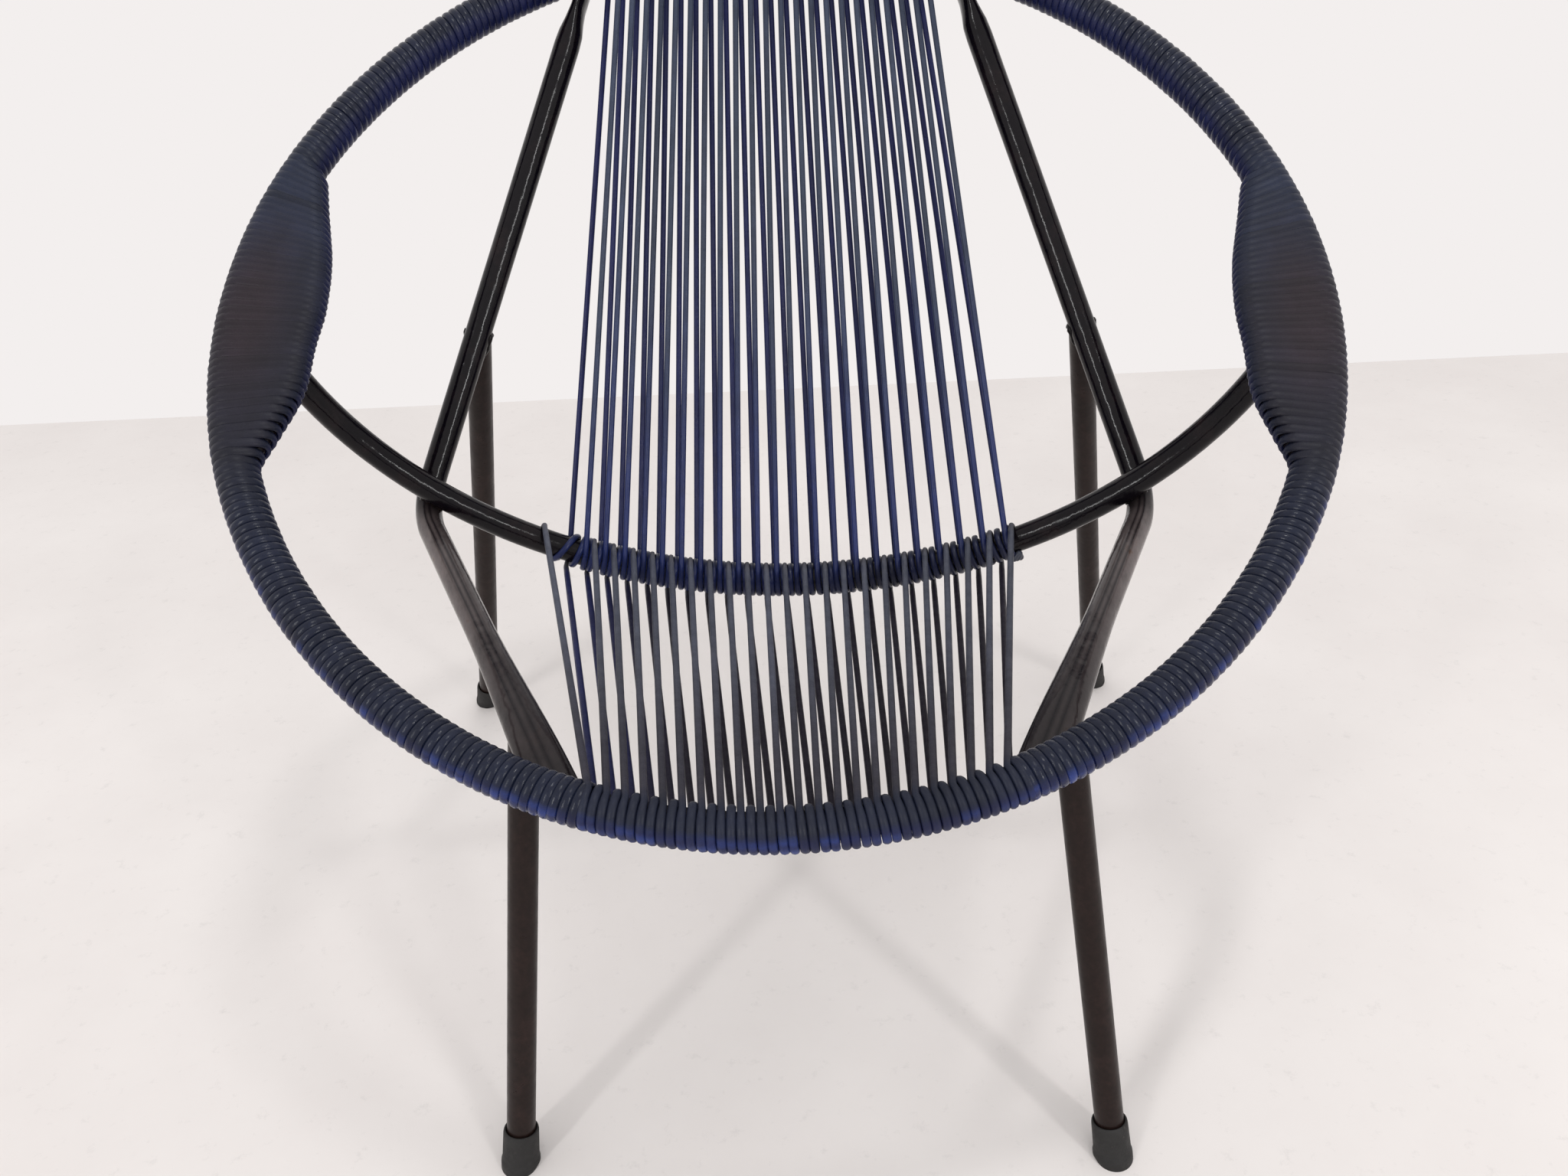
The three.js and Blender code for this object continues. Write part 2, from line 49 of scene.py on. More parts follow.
# Sizes shared with the solids, in millimetres. The row frame's origin is under the middle of
# the chair, so every Y takes the shift found from the hoop's tube.
TUBE_R, BOW_R, WELD_GAP = 10.0, 7.0, 0.3
HOOP_W, HOOP_L, HOOP_TILT = 362.0, 349.0, math.radians(36)
HOOP_Y, HOOP_Z, HOOP_EGG = 3.6, 526.6, -0.0126
hoop_low, hoop_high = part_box("hoop_tube")
SHIFT = np.array([0.0, (hoop_low[1] + hoop_high[1]) / 2 / MM - HOOP_Y, 0.0])
BAR_END = {-1: math.radians(175), 1: math.radians(181)}
BAR_MIDDLE, BAR_SWEEP, BAR_END_INSET = np.array([0, 60, 283]), math.radians(82), 5.0
RAIL_TOP = {-1: math.radians(112), 1: math.radians(116)}
RAIL_CROSSING = {-1: 261.0, 1: 265.0}
RAIL_FRONT = {-1: math.radians(248.2), 1: math.radians(247.5)}
RAIL_BEND, RAIL_DROP = 34.0, 14.0
FLAT_WIDE, FRONT_WIDE, FLAT_THIN, FLAT_LONG = 13.0, 14.6, 5.5, 46.0
FEET = {
    ("front", -1): (209.0, -256.0), ("front", 1): (209.0, -272.0),
    ("rear", -1): (334.0, 306.0), ("rear", 1): (325.0, 288.0),
}
LEG_SHARE = {"front": 0.78, "rear": 0.34}
LEG_FLOOR_GAP = 6.0
# Where each arm bow starts and ends on the hoop, and how far it reaches inwards
ARMS = {
    -1: (math.radians(153.5), math.radians(198.5), 47.0),
    1: (math.radians(162), math.radians(205), 43.0),
}

# Outline of an armrest: share of its length from the rear, and share of its reach
ARM_SHARES = [(0, 0), (0.05, 0.03), (0.1, 0.28), (0.3, 0.82), (0.47, 1), (0.62, 0.94), (0.77, 0.81),
              (0.88, 0.45), (0.95, 0.14), (1, 0)]

# The cord: half thickness and half width of a turn, which lies flatter than a free strand
CORD_R, CORD_SIDES = 2.3, 10
TURN_HALF, TURN_WIDE = 2.0, 2.85
WINDING_WIDE, ARM_TURN_WIDE, WINDING_PITCH, TURN_POINTS = 3.25, 4.2, 5.75, 32
BAR_TURN_HALF, BAR_TURN_WIDE = 1.8, 2.5
HOOP_TURN_PITCH, BAR_TURN_PITCH = 5.6, 5.35
HOOP_TURNS, BAR_TURNS, LAST_BAR_TURNS = 1.5, 2.5, 0.72
LOW_SAG, SEAT_SAG = 1.0, 2.0
# Loops of the back and the seat along the hoop and the crossbar
LOOPS = 23
HOOP_LOOP_PITCH, BACK_SHIFT, SEAT_SHIFT = 11.2, 8.0, 2.0
BACK_STRETCH, BACK_NUDGE = 1.016, 2.6
BAR_PITCH, BAR_GROWTH, BAR_SHIFT, BAR_STRETCH = 15.6, 0.12, 5.3, 1.022
SEAT_REACH, FIRST_SEAT_REACH, LOW_REACH, FIRST_LOW_REACH = 5.8, 20.0, 1.0, 24.0
END_REACH_LOSS = 2.2
# The knot: its place along the bar and below it, the reach of its loops, and its cord
KNOT_BELOW, KNOT_ALONG, KNOT_ASIDE, KNOT_DEPTH, KNOT_PLACE = 3.4, 2.6, 3.1, 1.7, 5.5
KNOT_HALF, KNOT_POINTS = 2.2, 60


# Small helpers

def unit(v):
    return v / np.linalg.norm(v, axis=-1, keepdims=True)


def square_to(v, d):
    return unit(v - np.sum(v * d, axis=-1, keepdims=True) * d)


def smoothstep(low, high, x):
    t = np.clip((np.asarray(x, float) - low) / (high - low), 0, 1)
    return t * t * (3 - 2 * t)


def mix(a, b, t):
    return a + (b - a) * t


def bump(x):
    return np.where(np.abs(x) < 1, np.cos(np.clip(x, -1, 1) * math.pi / 2) ** 2, 0)


def on_side(p, sign):
    p = np.array(p, float)
    p[..., 0] = sign * np.abs(p[..., 0])
    return p


def round_points(count):
    """Angles of count points round a circle."""
    return 2 * math.pi * np.arange(count) / count


def srgb(text):
    value = np.array([int(text[i:i + 2], 16) / 255 for i in (1, 3, 5)])
    return np.where(value < 0.04045, value / 12.92, ((value + 0.055) / 1.055) ** 2.4)


def grey(value):
    return (value, value, value)


# Curves of the frame

NORMAL = np.array([0, -math.sin(HOOP_TILT), math.cos(HOOP_TILT)])
SLOPE = np.array([0, math.cos(HOOP_TILT), math.sin(HOOP_TILT)])


def hoop_at(angle):
    angle = np.asarray(angle, float)[..., None]
    across = HOOP_W * np.cos(angle) * (1 + HOOP_EGG * np.sin(angle))
    centre = np.array([0, HOOP_Y, HOOP_Z])
    return centre + across * np.array([1.0, 0, 0]) + HOOP_L * np.sin(angle) * SLOPE


def hoop_frame(angle):
    """The hoop's centre line, its direction and the direction inwards."""
    angle = np.asarray(angle, float)
    a = angle[..., None]
    tangent = unit(-HOOP_W * np.sin(a) * np.array([1.0, 0, 0]) + HOOP_L * np.cos(a) * SLOPE)
    return hoop_at(angle), tangent, np.cross(NORMAL, tangent)


FINE = np.linspace(0, 2 * math.pi, 7201)
ARC = np.concatenate([[0], np.cumsum(np.linalg.norm(np.diff(hoop_at(FINE), axis=0), axis=1))])


def arc_at(angle):
    return np.interp(angle, FINE, ARC)


def angle_at(arc):
    return np.interp(arc, ARC, FINE)


bar_left, bar_right = hoop_at(BAR_END[-1]), on_side(hoop_at(BAR_END[1]), 1)
BAR_ACROSS = unit(bar_right - bar_left)
rise = (bar_left + bar_right) / 2 - BAR_MIDDLE
rise = rise - rise.dot(BAR_ACROSS) * BAR_ACROSS
BAR_RISE = unit(rise)
BAR_LOW = (bar_left + bar_right) / 2 - rise
BAR_WIDE = np.linalg.norm(bar_right - bar_left) / 2 / math.sin(BAR_SWEEP)
BAR_DEEP = np.linalg.norm(rise) / (1 - math.cos(BAR_SWEEP))


def bar_at(angle):
    a = np.asarray(angle, float)[..., None]
    return BAR_LOW + BAR_WIDE * np.sin(a) * BAR_ACROSS + BAR_DEEP * (1 - np.cos(a)) * BAR_RISE


def bar_tangent(angle):
    a = np.asarray(angle, float)[..., None]
    return unit(BAR_DEEP * np.sin(a) * BAR_RISE + BAR_WIDE * np.cos(a) * BAR_ACROSS)


def bar_angle(place):
    return np.arcsin(np.asarray(place, float) / BAR_WIDE)


# Meshes

def make_mesh(name, verts, faces, material, node=None, tint=None):
    """A piece that rides on the chair; tint holds each point's colour, and its alpha if there is one."""
    mesh = bpy.data.meshes.new(name)
    mesh.from_pydata(((verts + SHIFT) * MM).tolist(), [], faces)
    mesh.polygons.foreach_set("use_smooth", [True] * len(mesh.polygons))
    if tint is not None:
        layer = mesh.color_attributes.new("tint", "FLOAT_COLOR", "POINT")
        rgba = np.ones((len(tint), 4))
        rgba[:, :tint.shape[1]] = tint
        layer.data.foreach_set("color", rgba.ravel())
    mesh.materials.append(material)
    piece = bpy.data.objects.new(name, mesh)
    bpy.context.scene.collection.objects.link(piece)
    if node:
        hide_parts(*node)
    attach(piece, "root")


def ring_faces(rings, count, closed=False):
    k = np.arange(rings if closed else rings - 1)[:, None]
    j = np.arange(count)[None, :]
    after, turn = ((k + 1) % rings) * count, (j + 1) % count
    quads = np.stack([k * count + j, k * count + turn, after + turn, after + j], axis=-1)
    faces = quads.reshape(-1, 4).tolist()
    if not closed:
        faces.append(list(range(count))[::-1])
        faces.append(list(range((rings - 1) * count, rings * count)))
    return faces


def directions(path, closed=False):
    if closed:
        return unit(np.roll(path, -1, axis=0) - np.roll(path, 1, axis=0))
    return unit(np.gradient(path, axis=0))


def sweep(path, out, half_out, half_side, closed=False):
    """A cord along path whose section is an ellipse: half_out along out, half_side across."""
    along = directions(path, closed)
    side = unit(np.cross(along, out))
    out = np.cross(side, along)
    turn = round_points(CORD_SIDES)
    half_out = np.broadcast_to(half_out, len(path))[:, None, None]
    half_side = np.broadcast_to(half_side, len(path))[:, None, None]
    verts = path[:, None] + out[:, None] * np.cos(turn)[None, :, None] * half_out
    verts = verts + side[:, None] * np.sin(turn)[None, :, None] * half_side
    return verts.reshape(-1, 3), ring_faces(len(path), CORD_SIDES, closed)


def per_ring(tint):
    """Each path point's tint, for all points of its ring."""
    return np.repeat(tint, CORD_SIDES, axis=0)


# Materials

class Graph:
    """A node tree, with a short way to add each kind of node that the looks use."""

    def __init__(self, tree):
        self.nodes, self.links = tree.nodes, tree.links

    def node(self, kind, **values):
        """A new node, with values for its inputs by their names."""
        node = self.nodes.new(f"ShaderNode{kind}")
        for name, value in values.items():
            node.inputs[name].default_value = value
        return node

    def noise(self, scale, detail=3.0, rough=0.55, stretch=None):
        noise = self.node("TexNoise", Scale=scale, Detail=detail, Roughness=rough)
        place = self.node("TexCoord").outputs["Object"]
        if stretch:
            mapping = self.node("Mapping", Scale=stretch)
            self.links.new(place, mapping.inputs["Vector"])
            place = mapping.outputs["Vector"]
        self.links.new(place, noise.inputs["Vector"])
        return noise.outputs["Fac"]

    def tint(self):
        node = self.node("VertexColor")
        node.layer_name = "tint"
        return node.outputs["Color"], node.outputs["Alpha"]

    def ramp(self, value, *stops):
        """Colours by value; stops are (position, colour) from low to high."""
        node = self.node("ValToRGB")
        elements = node.color_ramp.elements
        elements[0].position, elements[1].position = stops[0][0], stops[-1][0]
        for position, _ in stops[1:-1]:
            elements.new(position)
        for element, (position, colour) in zip(elements, stops):
            element.position = position
            element.color = (*colour, 1)
        self.links.new(value, node.inputs["Fac"])
        return node.outputs["Color"]

    def bump(self, shader, value, strength, distance, previous=None):
        node = self.node("Bump", Strength=strength, Distance=distance)
        self.links.new(value, node.inputs["Height"])
        if previous:
            self.links.new(previous, node.inputs["Normal"])
        self.links.new(node.outputs["Normal"], shader.inputs["Normal"])
        return node.outputs["Normal"]

    def mix_colours(self, first, second):
        node = self.node("Mix")
        node.data_type = "RGBA"
        self.links.new(first, node.inputs[6])
        self.links.new(second, node.inputs[7])
        return node

    def multiply(self, first, second):
        node = self.mix_colours(first, second)
        node.blend_type = "MULTIPLY"
        node.inputs["Factor"].default_value = 1
        return node.outputs[2]


def new_look(name):
    material = bpy.data.materials.new(name)
    material.use_nodes = True
    return material, Graph(material.node_tree), material.node_tree.nodes["Principled BSDF"]


def cord_material(name, low, high, scuff, shine=0.3, dull=0.46):
    """PVC cord: the piece's own tint, blotched at two scales, with a soft uneven gloss."""
    material, graph, shader = new_look(name)
    tint, glossy = graph.tint()
    blotch = graph.ramp(graph.noise(55, 4), (0.3, grey(0.8)), (0.7, grey(1.18)))
    speck = graph.ramp(graph.noise(900, 2), (0.25, grey(0.86)), (0.75, grey(1.12)))
    colour = graph.multiply(graph.multiply(tint, blotch), speck)
    graph.links.new(colour, shader.inputs["Base Color"])
    # The tint's alpha is 0 where the cord is rubbed dull
    gloss = graph.ramp(graph.noise(130), (0.3, grey(low)), (0.7, grey(high)))
    roughness = graph.node("Mix")
    roughness.inputs[2].default_value = dull
    graph.links.new(glossy, roughness.inputs[0])
    graph.links.new(gloss, roughness.inputs[3])
    graph.links.new(roughness.outputs[0], shader.inputs["Roughness"])
    graph.bump(shader, graph.noise(700), scuff, 0.0004)
    shader.inputs["IOR"].default_value = 1.46
    shader.inputs["Specular IOR Level"].default_value = shine
    return material


def show_bare(graph, base, bare):
    """Rubbed steel, blotched and flecked with rust, where the piece's tint is high (painted light on
    rails).
    """
    steel = graph.ramp(graph.noise(70, 6, 0.75, (1, 0.35, 1)), (0.3, bare * 0.45), (0.45, bare),
                       (0.62, bare * 1.35), (0.72, srgb("#5a4438")))
    node = graph.mix_colours(base, steel)
    graph.links.new(graph.tint()[0], node.inputs["Factor"])
    return node.outputs[2]


def lacquer_material(name, colour, worn, low, high, lump, shine=0.18, bare=None):
    """Brushed lacquer on steel: long runs and lumps in the gloss, with scuffed brown patches."""
    material, graph, shader = new_look(name)
    base = graph.ramp(graph.noise(38, 6, 0.7), (0.5, colour), (0.66, mix(colour, worn, 0.35)), (0.76, worn))
    dirt = graph.ramp(graph.noise(260, 4, 0.65), (0.3, grey(0.75)), (0.7, grey(1.25)))
    base = graph.multiply(base, dirt)
    if bare is not None:
        base = show_bare(graph, base, bare)
    graph.links.new(base, shader.inputs["Base Color"])
    gloss = graph.ramp(graph.noise(90, 4), (0.3, grey(low)), (0.72, grey(high)))
    graph.links.new(gloss, shader.inputs["Roughness"])
    runs = graph.bump(shader, graph.noise(60, 2, 0.5), lump, 0.002)
    graph.bump(shader, graph.noise(520, 3, 0.6), lump * 0.5, 0.0004, runs)
    shader.inputs["IOR"].default_value = 1.5
    shader.inputs["Specular IOR Level"].default_value = shine
    return material


def rubber_material(name, colour):
    material, graph, shader = new_look(name)
    dust = graph.noise(120, 5, 0.7)
    base = graph.ramp(dust, (0.35, colour), (0.62, colour * 1.5), (0.8, srgb("#4a4644")))
    graph.links.new(base, shader.inputs["Base Color"])
    graph.links.new(graph.ramp(dust, (0.3, grey(0.55)), (0.7, grey(0.85))), shader.inputs["Roughness"])
    graph.bump(shader, graph.noise(800), 0.35, 0.0005)
    return material


def floor_material(name):
    material, graph, shader = new_look(name)
    stains = graph.ramp(graph.noise(2.2, 8, 0.62), (0.3, srgb("#e3dcd9")), (0.75, srgb("#ede7e4")))
    grit = graph.ramp(graph.noise(60, 6, 0.75), (0.28, grey(0.9)), (0.42, grey(1.0)))
    graph.links.new(graph.multiply(stains, grit), shader.inputs["Base Color"])
    shader.inputs["Roughness"].default_value = 0.75
    return material


FRAME_BLACK, FRAME_WORN = srgb("#0a070c"), srgb("#241a1b")
winding_look = cord_material("winding_pvc", 0.18, 0.34, 0.3, 0.27)
back_look = cord_material("back_pvc", 0.26, 0.42, 0.2)
seat_look = cord_material("seat_pvc", 0.4, 0.6, 0.4)
frame_look = lacquer_material("frame_lacquer", FRAME_BLACK, FRAME_WORN, 0.04, 0.2, 0.3)
rail_look = lacquer_material("rail_lacquer", FRAME_BLACK, FRAME_WORN, 0.04, 0.2, 0.3, 0.22, srgb("#5a5150"))
leg_look = lacquer_material("leg_lacquer", srgb("#1f1513"), srgb("#332421"), 0.26, 0.42, 0.25)
cap_look = rubber_material("cap_rubber", srgb("#141313"))
weld_look = lacquer_material("weld_lacquer", srgb("#121011"), srgb("#3b2b26"), 0.25, 0.5, 0.7)
floor_look = floor_material("floor_paint")

# The hoop turns' blue is painted light on their lower front faces
SLATE, NAVY, LIT_FRONT_BLUE = srgb("#171c2d"), srgb("#161b3f"), srgb("#22336f")
ARM_BLACK, ARM_SLATE, ARM_BROWN = srgb("#171824"), srgb("#1c2336"), srgb("#251c22")
BAR_NAVY, BAR_DARK, SEAT_LOOP = srgb("#18224e"), srgb("#15182c"), srgb("#42424c")
BACK_WORN, BACK_NAVY, BACK_REAR = srgb("#323a4d"), srgb("#1d2859"), srgb("#1a1f4c")
SEAT_TOP, SEAT_FRONT, SEAT_LOW = srgb("#454855"), srgb("#2b2932"), srgb("#1d1824")


def turn_tint(out, shade, blue):
    """Turns on the hoop: worn slate where they face up, navy below, painted light as blue on the lower
    front.
    """
    up = smoothstep(0.0, 0.5, out[:, 2])[:, None]
    # Painted light: the front-facing lower faces get blue, mottled, and only on the brighter turns
    front = smoothstep(0.3, 0.75, -out[:, 1]) * smoothstep(-0.95, -0.7, out[:, 2])
    mottle = 0.55 + 0.45 * np.sin(out[:, 2] * 8 + shade * 150)
    brighter = smoothstep(0.86, 1.12, shade)
    clean = mix(NAVY, LIT_FRONT_BLUE, (front * mottle * blue * brighter)[:, None])
    return mix(clean, SLATE, up) * shade[:, None]


def arm_tint(place, u, shade):
    """The armrests' upper side: slate at the rear, black in front, with a brown patch between."""
    patch = np.exp(-((place - 0.55) / 0.24) ** 2) * np.exp(-((u - 12) / 24) ** 2)
    dark = mix(ARM_SLATE, ARM_BLACK, smoothstep(0.15, 0.6, place)[:, None])
    dark = mix(dark, ARM_BROWN, np.clip(patch * 1.15, 0, 1)[:, None])
    return dark * shade[:, None]


def bar_tint(out, shade, dark):
    """Blue turns on the crossbar, worn dark on top."""
    up = smoothstep(0.75, 1.0, out[:, 2])[:, None]
    return mix(mix(BAR_NAVY, BAR_DARK, dark), SLATE, up * 0.7) * shade


# Camera, light and floor

PHOTO_WIDE, FOCAL_PIXELS, SENSOR_WIDE = 2048, 1620, 36
CAMERA_PLACE = (2.8, -805, 799)
YAW, PITCH, ROLL = math.radians(-0.33), math.radians(31.2), math.radians(-3)
WALL = srgb("#f3efee")
FLOOR_REACH, FLOOR_EDGE, FLOOR_SKEW = 7, 1.15, 0.07


def make_camera():
    forward = np.array([math.sin(YAW) * math.cos(PITCH), math.cos(YAW) * math.cos(PITCH), -math.sin(PITCH)])
    right = np.array([math.cos(YAW), -math.sin(YAW), 0])
    up = np.cross(right, forward)
    x = math.cos(ROLL) * right + math.sin(ROLL) * up
    y = -math.sin(ROLL) * right + math.cos(ROLL) * up
    data = bpy.data.cameras.new("camera")
    data.sensor_width, data.lens = SENSOR_WIDE, FOCAL_PIXELS / PHOTO_WIDE * SENSOR_WIDE
    camera = bpy.data.objects.new("camera", data)
    bpy.context.scene.collection.objects.link(camera)
    where = Matrix((x, y, -forward)).transposed().to_4x4()
    where.translation = Vector((np.array(CAMERA_PLACE) + SHIFT) * MM)
    camera.matrix_world = where
    bpy.context.scene.camera = camera


def area_light(name, place, target, width, height, watts):
    data = bpy.data.lights.new(name, "AREA")
    data.shape, data.size, data.size_y, data.energy = "RECTANGLE", width, height, watts
    lamp = bpy.data.objects.new(name, data)
    lamp.location = place
    lamp.visible_camera = False
    lamp.rotation_euler = (Vector(target) - Vector(place)).to_track_quat("-Z", "Y").to_euler()
    bpy.context.scene.collection.objects.link(lamp)


def make_world():
    """A pale ceiling over darker walls lights the chair; camera and reflections see a plain wall."""
    world = bpy.data.worlds.new("world")
    bpy.context.scene.world = world
    world.use_nodes = True
    graph = Graph(world.node_tree)
    graph.nodes.clear()
    height = graph.node("SeparateXYZ")
    graph.links.new(graph.node("TexCoord").outputs["Generated"], height.inputs["Vector"])
    room = graph.ramp(height.outputs["Z"], (0.0, grey(0.62)), (0.35, grey(0.68)), (0.6, grey(0.86)),
                      (1.0, grey(0.94)))
    ambient, shown = graph.node("Background"), graph.node("Background", Color=(*WALL, 1))
    graph.links.new(room, ambient.inputs["Color"])
    rays = graph.node("LightPath").outputs
    seen = rays["Is Camera Ray"]
    for kind in ("Is Glossy Ray", "Is Transmission Ray"):
        either = graph.node("Math")
        either.operation = "MAXIMUM"
        graph.links.new(seen, either.inputs[0])
        graph.links.new(rays[kind], either.inputs[1])
        seen = either.outputs["Value"]
    choose, output = graph.node("MixShader"), graph.node("OutputWorld")
    graph.links.new(seen, choose.inputs["Fac"])
    graph.links.new(ambient.outputs["Background"], choose.inputs[1])
    graph.links.new(shown.outputs["Background"], choose.inputs[2])
    graph.links.new(choose.outputs["Shader"], output.inputs["Surface"])


def make_floor():
    """The floor ends at the line, slightly askew, where the photograph's wall begins."""
    left, right = FLOOR_EDGE + FLOOR_SKEW, FLOOR_EDGE - FLOOR_SKEW
    corners = [(-FLOOR_REACH, -FLOOR_REACH, 0), (FLOOR_REACH, -FLOOR_REACH, 0),
               (FLOOR_REACH, right, 0), (-FLOOR_REACH, left, 0)]
    mesh = bpy.data.meshes.new("floor")
    mesh.from_pydata(corners, [], [(0, 1, 2, 3)])
    mesh.materials.append(floor_look)
    floor = bpy.data.objects.new("floor", mesh)
    bpy.context.scene.collection.objects.link(floor)


make_camera()
area_light("lamp_ceiling", (0.3, -0.2, 2.9), (0, 0.1, 0.3), width=0.4, height=0.16, watts=9)
# Two tall strips in front draw the thin lines of light along the rails
for side, word in SIDES.items():
    area_light(f"lamp_strip_{word}", (-side * 2.67, -3.48, 2.42), (side * 0.18, 0.13, 0.49),
               width=0.34, height=2.5, watts=50)
make_world()
make_floor()
bpy.context.scene.view_settings.view_transform = "Standard"

# Tubes of the frame

TUBE_SIDES, RAIL_SIDES, BOW_SIDES = 28, 72, 16
CREASE_DEPTH, CREASE_SPREAD = 0.9, 0.3
# The rubbing fades over these distances from a rail's front end, down to this share
RUB_FADE, RUB_LEAST = (60, 260), 0.3
UPPER_POINTS, BEND_POINTS, LOWER_POINTS = 40, 17, 40


def tube(name, path, start_side, half_a, half_b, look, node, count=TUBE_SIDES, dent=0.0, bare=None):
    """A tube along path: half_a along the side carried from start_side, half_b square to it.

    dent presses a crease along the tube into both faces that half_b measures, and bare shows rubbed
    steel, more or less at each point. Painted light shows more of it on the chair's outer side, and
    painted shade lines along the crease's edges show none.
    """
    along = directions(path)
    side = square_to(start_side, along[0])
    sides = [side]
    for k in range(1, len(path)):
        side = square_to(side, along[k])
        sides.append(side)
    sides = np.array(sides)
    other = np.cross(along, sides)
    turn = 2 * math.pi * (np.arange(count) + 0.5) / count
    across, upward = np.cos(turn), np.sin(turn)
    sizes = (half_a, half_b, dent)
    half_a, half_b, dent = (np.broadcast_to(size, len(path))[:, None, None] for size in sizes)
    valley = dent * np.exp(-(across / CREASE_SPREAD) ** 2)[None, :, None] * np.sign(upward)[None, :, None]
    verts = path[:, None] + sides[:, None] * across[None, :, None] * half_a
    verts = verts + other[:, None] * (upward[None, :, None] * half_b - valley)
    tint = None
    if bare is not None:
        # Painted light on the rubbed steel: lit raises its share on the outer side as a painted highlight,
        # and painted shade lines along the crease's edges leave black lacquer there
        crease_shade_lines = np.exp(-((np.abs(across) - 0.2) / 0.1) ** 2)
        outside = np.sign(path[0][0]) * across
        lit = np.clip(0.72 + 0.4 * outside, 0, 1) * (1 - 0.92 * crease_shade_lines)
        tint = np.repeat(bare[:, None, None] * lit[None, :, None], 3, axis=2).reshape(-1, 3)
    make_mesh(name, verts.reshape(-1, 3), ring_faces(len(path), count), look, node, tint)


def place_rail(sign):
    """A rail's two ends and the corner below the crossbar that its bend rounds off."""
    top = on_side(hoop_at(RAIL_TOP[sign]) - RAIL_DROP * NORMAL, sign)
    front = on_side(hoop_at(RAIL_FRONT[sign]) - (TUBE_R + WELD_GAP + FLAT_THIN) * NORMAL, sign)
    angle = bar_angle(sign * RAIL_CROSSING[sign])
    crossing, tangent = bar_at(angle), bar_tangent(angle)
    corner = crossing.copy()
    for _ in range(4):
        up, forward = unit(top - corner), unit(front - corner)
        inside = up + forward
        away = 2 * TUBE_R + WELD_GAP + RAIL_BEND * np.linalg.norm(inside) / 4
        corner = crossing - away * square_to(inside, tangent)
    return {"top": top, "front": front, "corner": corner, "up": unit(top - corner),
            "forward": unit(front - corner)}


def rail_path(rail):
    start, end = rail["corner"] + RAIL_BEND * rail["up"], rail["corner"] + RAIL_BEND * rail["forward"]
    t = np.linspace(0, 1, BEND_POINTS)[:, None]
    bend = (1 - t) ** 2 * start + 2 * t * (1 - t) * rail["corner"] + t * t * end
    upper = mix(rail["top"], start, np.linspace(0, 1, UPPER_POINTS, endpoint=False)[:, None])
    lower = mix(end, rail["front"], np.linspace(0, 1, LOWER_POINTS + 1)[1:, None])
    return np.concatenate([upper, bend, lower])


def make_rail(sign, word, rail):
    """Round tube, pressed flat at both ends, and widened and creased on its way to the front."""
    path = rail_path(rail)
    from_top = np.linalg.norm(path - rail["top"], axis=1)
    from_front = np.linalg.norm(path - rail["front"], axis=1)
    index = np.arange(len(path))
    is_upper, is_lower = index < UPPER_POINTS, index > UPPER_POINTS + BEND_POINTS
    press_top = np.where(is_upper, 1 - smoothstep(FLAT_LONG * 0.4, FLAT_LONG, from_top), 0)
    press_front = np.where(is_lower, 1 - smoothstep(FLAT_LONG * 0.4, FLAT_LONG * 1.6, from_front), 0)
    widened = np.where(is_lower, 1 - smoothstep(FLAT_LONG * 0.5, FLAT_LONG * 4, from_front), 0)
    half_x = TUBE_R + press_top * (FLAT_THIN - TUBE_R) + widened * (FRONT_WIDE - TUBE_R)
    half_up = TUBE_R + press_top * (FLAT_WIDE - TUBE_R) + press_front * (FLAT_THIN - TUBE_R)
    bend_end = UPPER_POINTS + BEND_POINTS
    creased = smoothstep(UPPER_POINTS + BEND_POINTS * 0.5, bend_end + 3, index) * CREASE_DEPTH
    rubbed = smoothstep(UPPER_POINTS + BEND_POINTS * 0.35, bend_end + 1, index)
    rubbed = rubbed * mix(RUB_LEAST, 1, smoothstep(*RUB_FADE, from_front))
    tube(f"rail_{word}", path, np.array([1.0, 0, 0]), half_x, half_up, rail_look,
         [f"side_rail_{word}"], RAIL_SIDES, creased, rubbed)


bar_path = bar_at(np.linspace(-1, 1, 97) * (BAR_SWEEP - BAR_END_INSET / BAR_DEEP))
tube("crossbar", bar_path, BAR_RISE, TUBE_R, TUBE_R, frame_look, ["crossbar_tube"])
RAILS = {}
for sign, word in SIDES.items():
    RAILS[sign] = place_rail(sign)
    make_rail(sign, word, RAILS[sign])

# Legs, caps and welds

# Radius and height of the cap's outline, from under its sole over the lip into its bore
CAP_PROFILE = [(0.1, -4), (12.2, -4), (13.3, -4), (13.7, 2.0), (13.6, 4.5), (13.1, 5.6), (12.9, 8),
               (12.6, 20), (12.4, 27.2), (12.1, 29.0), (11.5, 30), (10.9, 29.8), (10.4, 29.0), (10.3, 20)]
CAP_SIDES, WELD_POINTS = 48, 48
LEG_WELD_R, BAR_WELD_R, BAR_WELD_HALF, BAR_WELD_ASIDE = 1.5, 1.7, 9.5, 3.6
# A bead's ripples as shares of its radius, their turn at each point, and its width to its height
RIPPLE, RIPPLE_SCATTER, RIPPLE_TURN, BEAD_WIDE = 0.22, 0.1, 1.9, 1.2


def around(direction, count):
    """Directions of count points round a line, and square to it."""
    side = square_to(np.array([0, 1.0, 0]), direction)
    turn = round_points(count)
    return np.cos(turn)[:, None] * side + np.sin(turn)[:, None] * np.cross(direction, side)


def make_cap(name, foot, direction, node):
    circle = around(direction, CAP_SIDES)
    verts = np.concatenate([foot + direction * height + circle * radius for radius, height in CAP_PROFILE])
    verts[:, 2] = np.maximum(verts[:, 2], 0)
    make_mesh(name, verts, ring_faces(len(CAP_PROFILE), CAP_SIDES), cap_look, node)


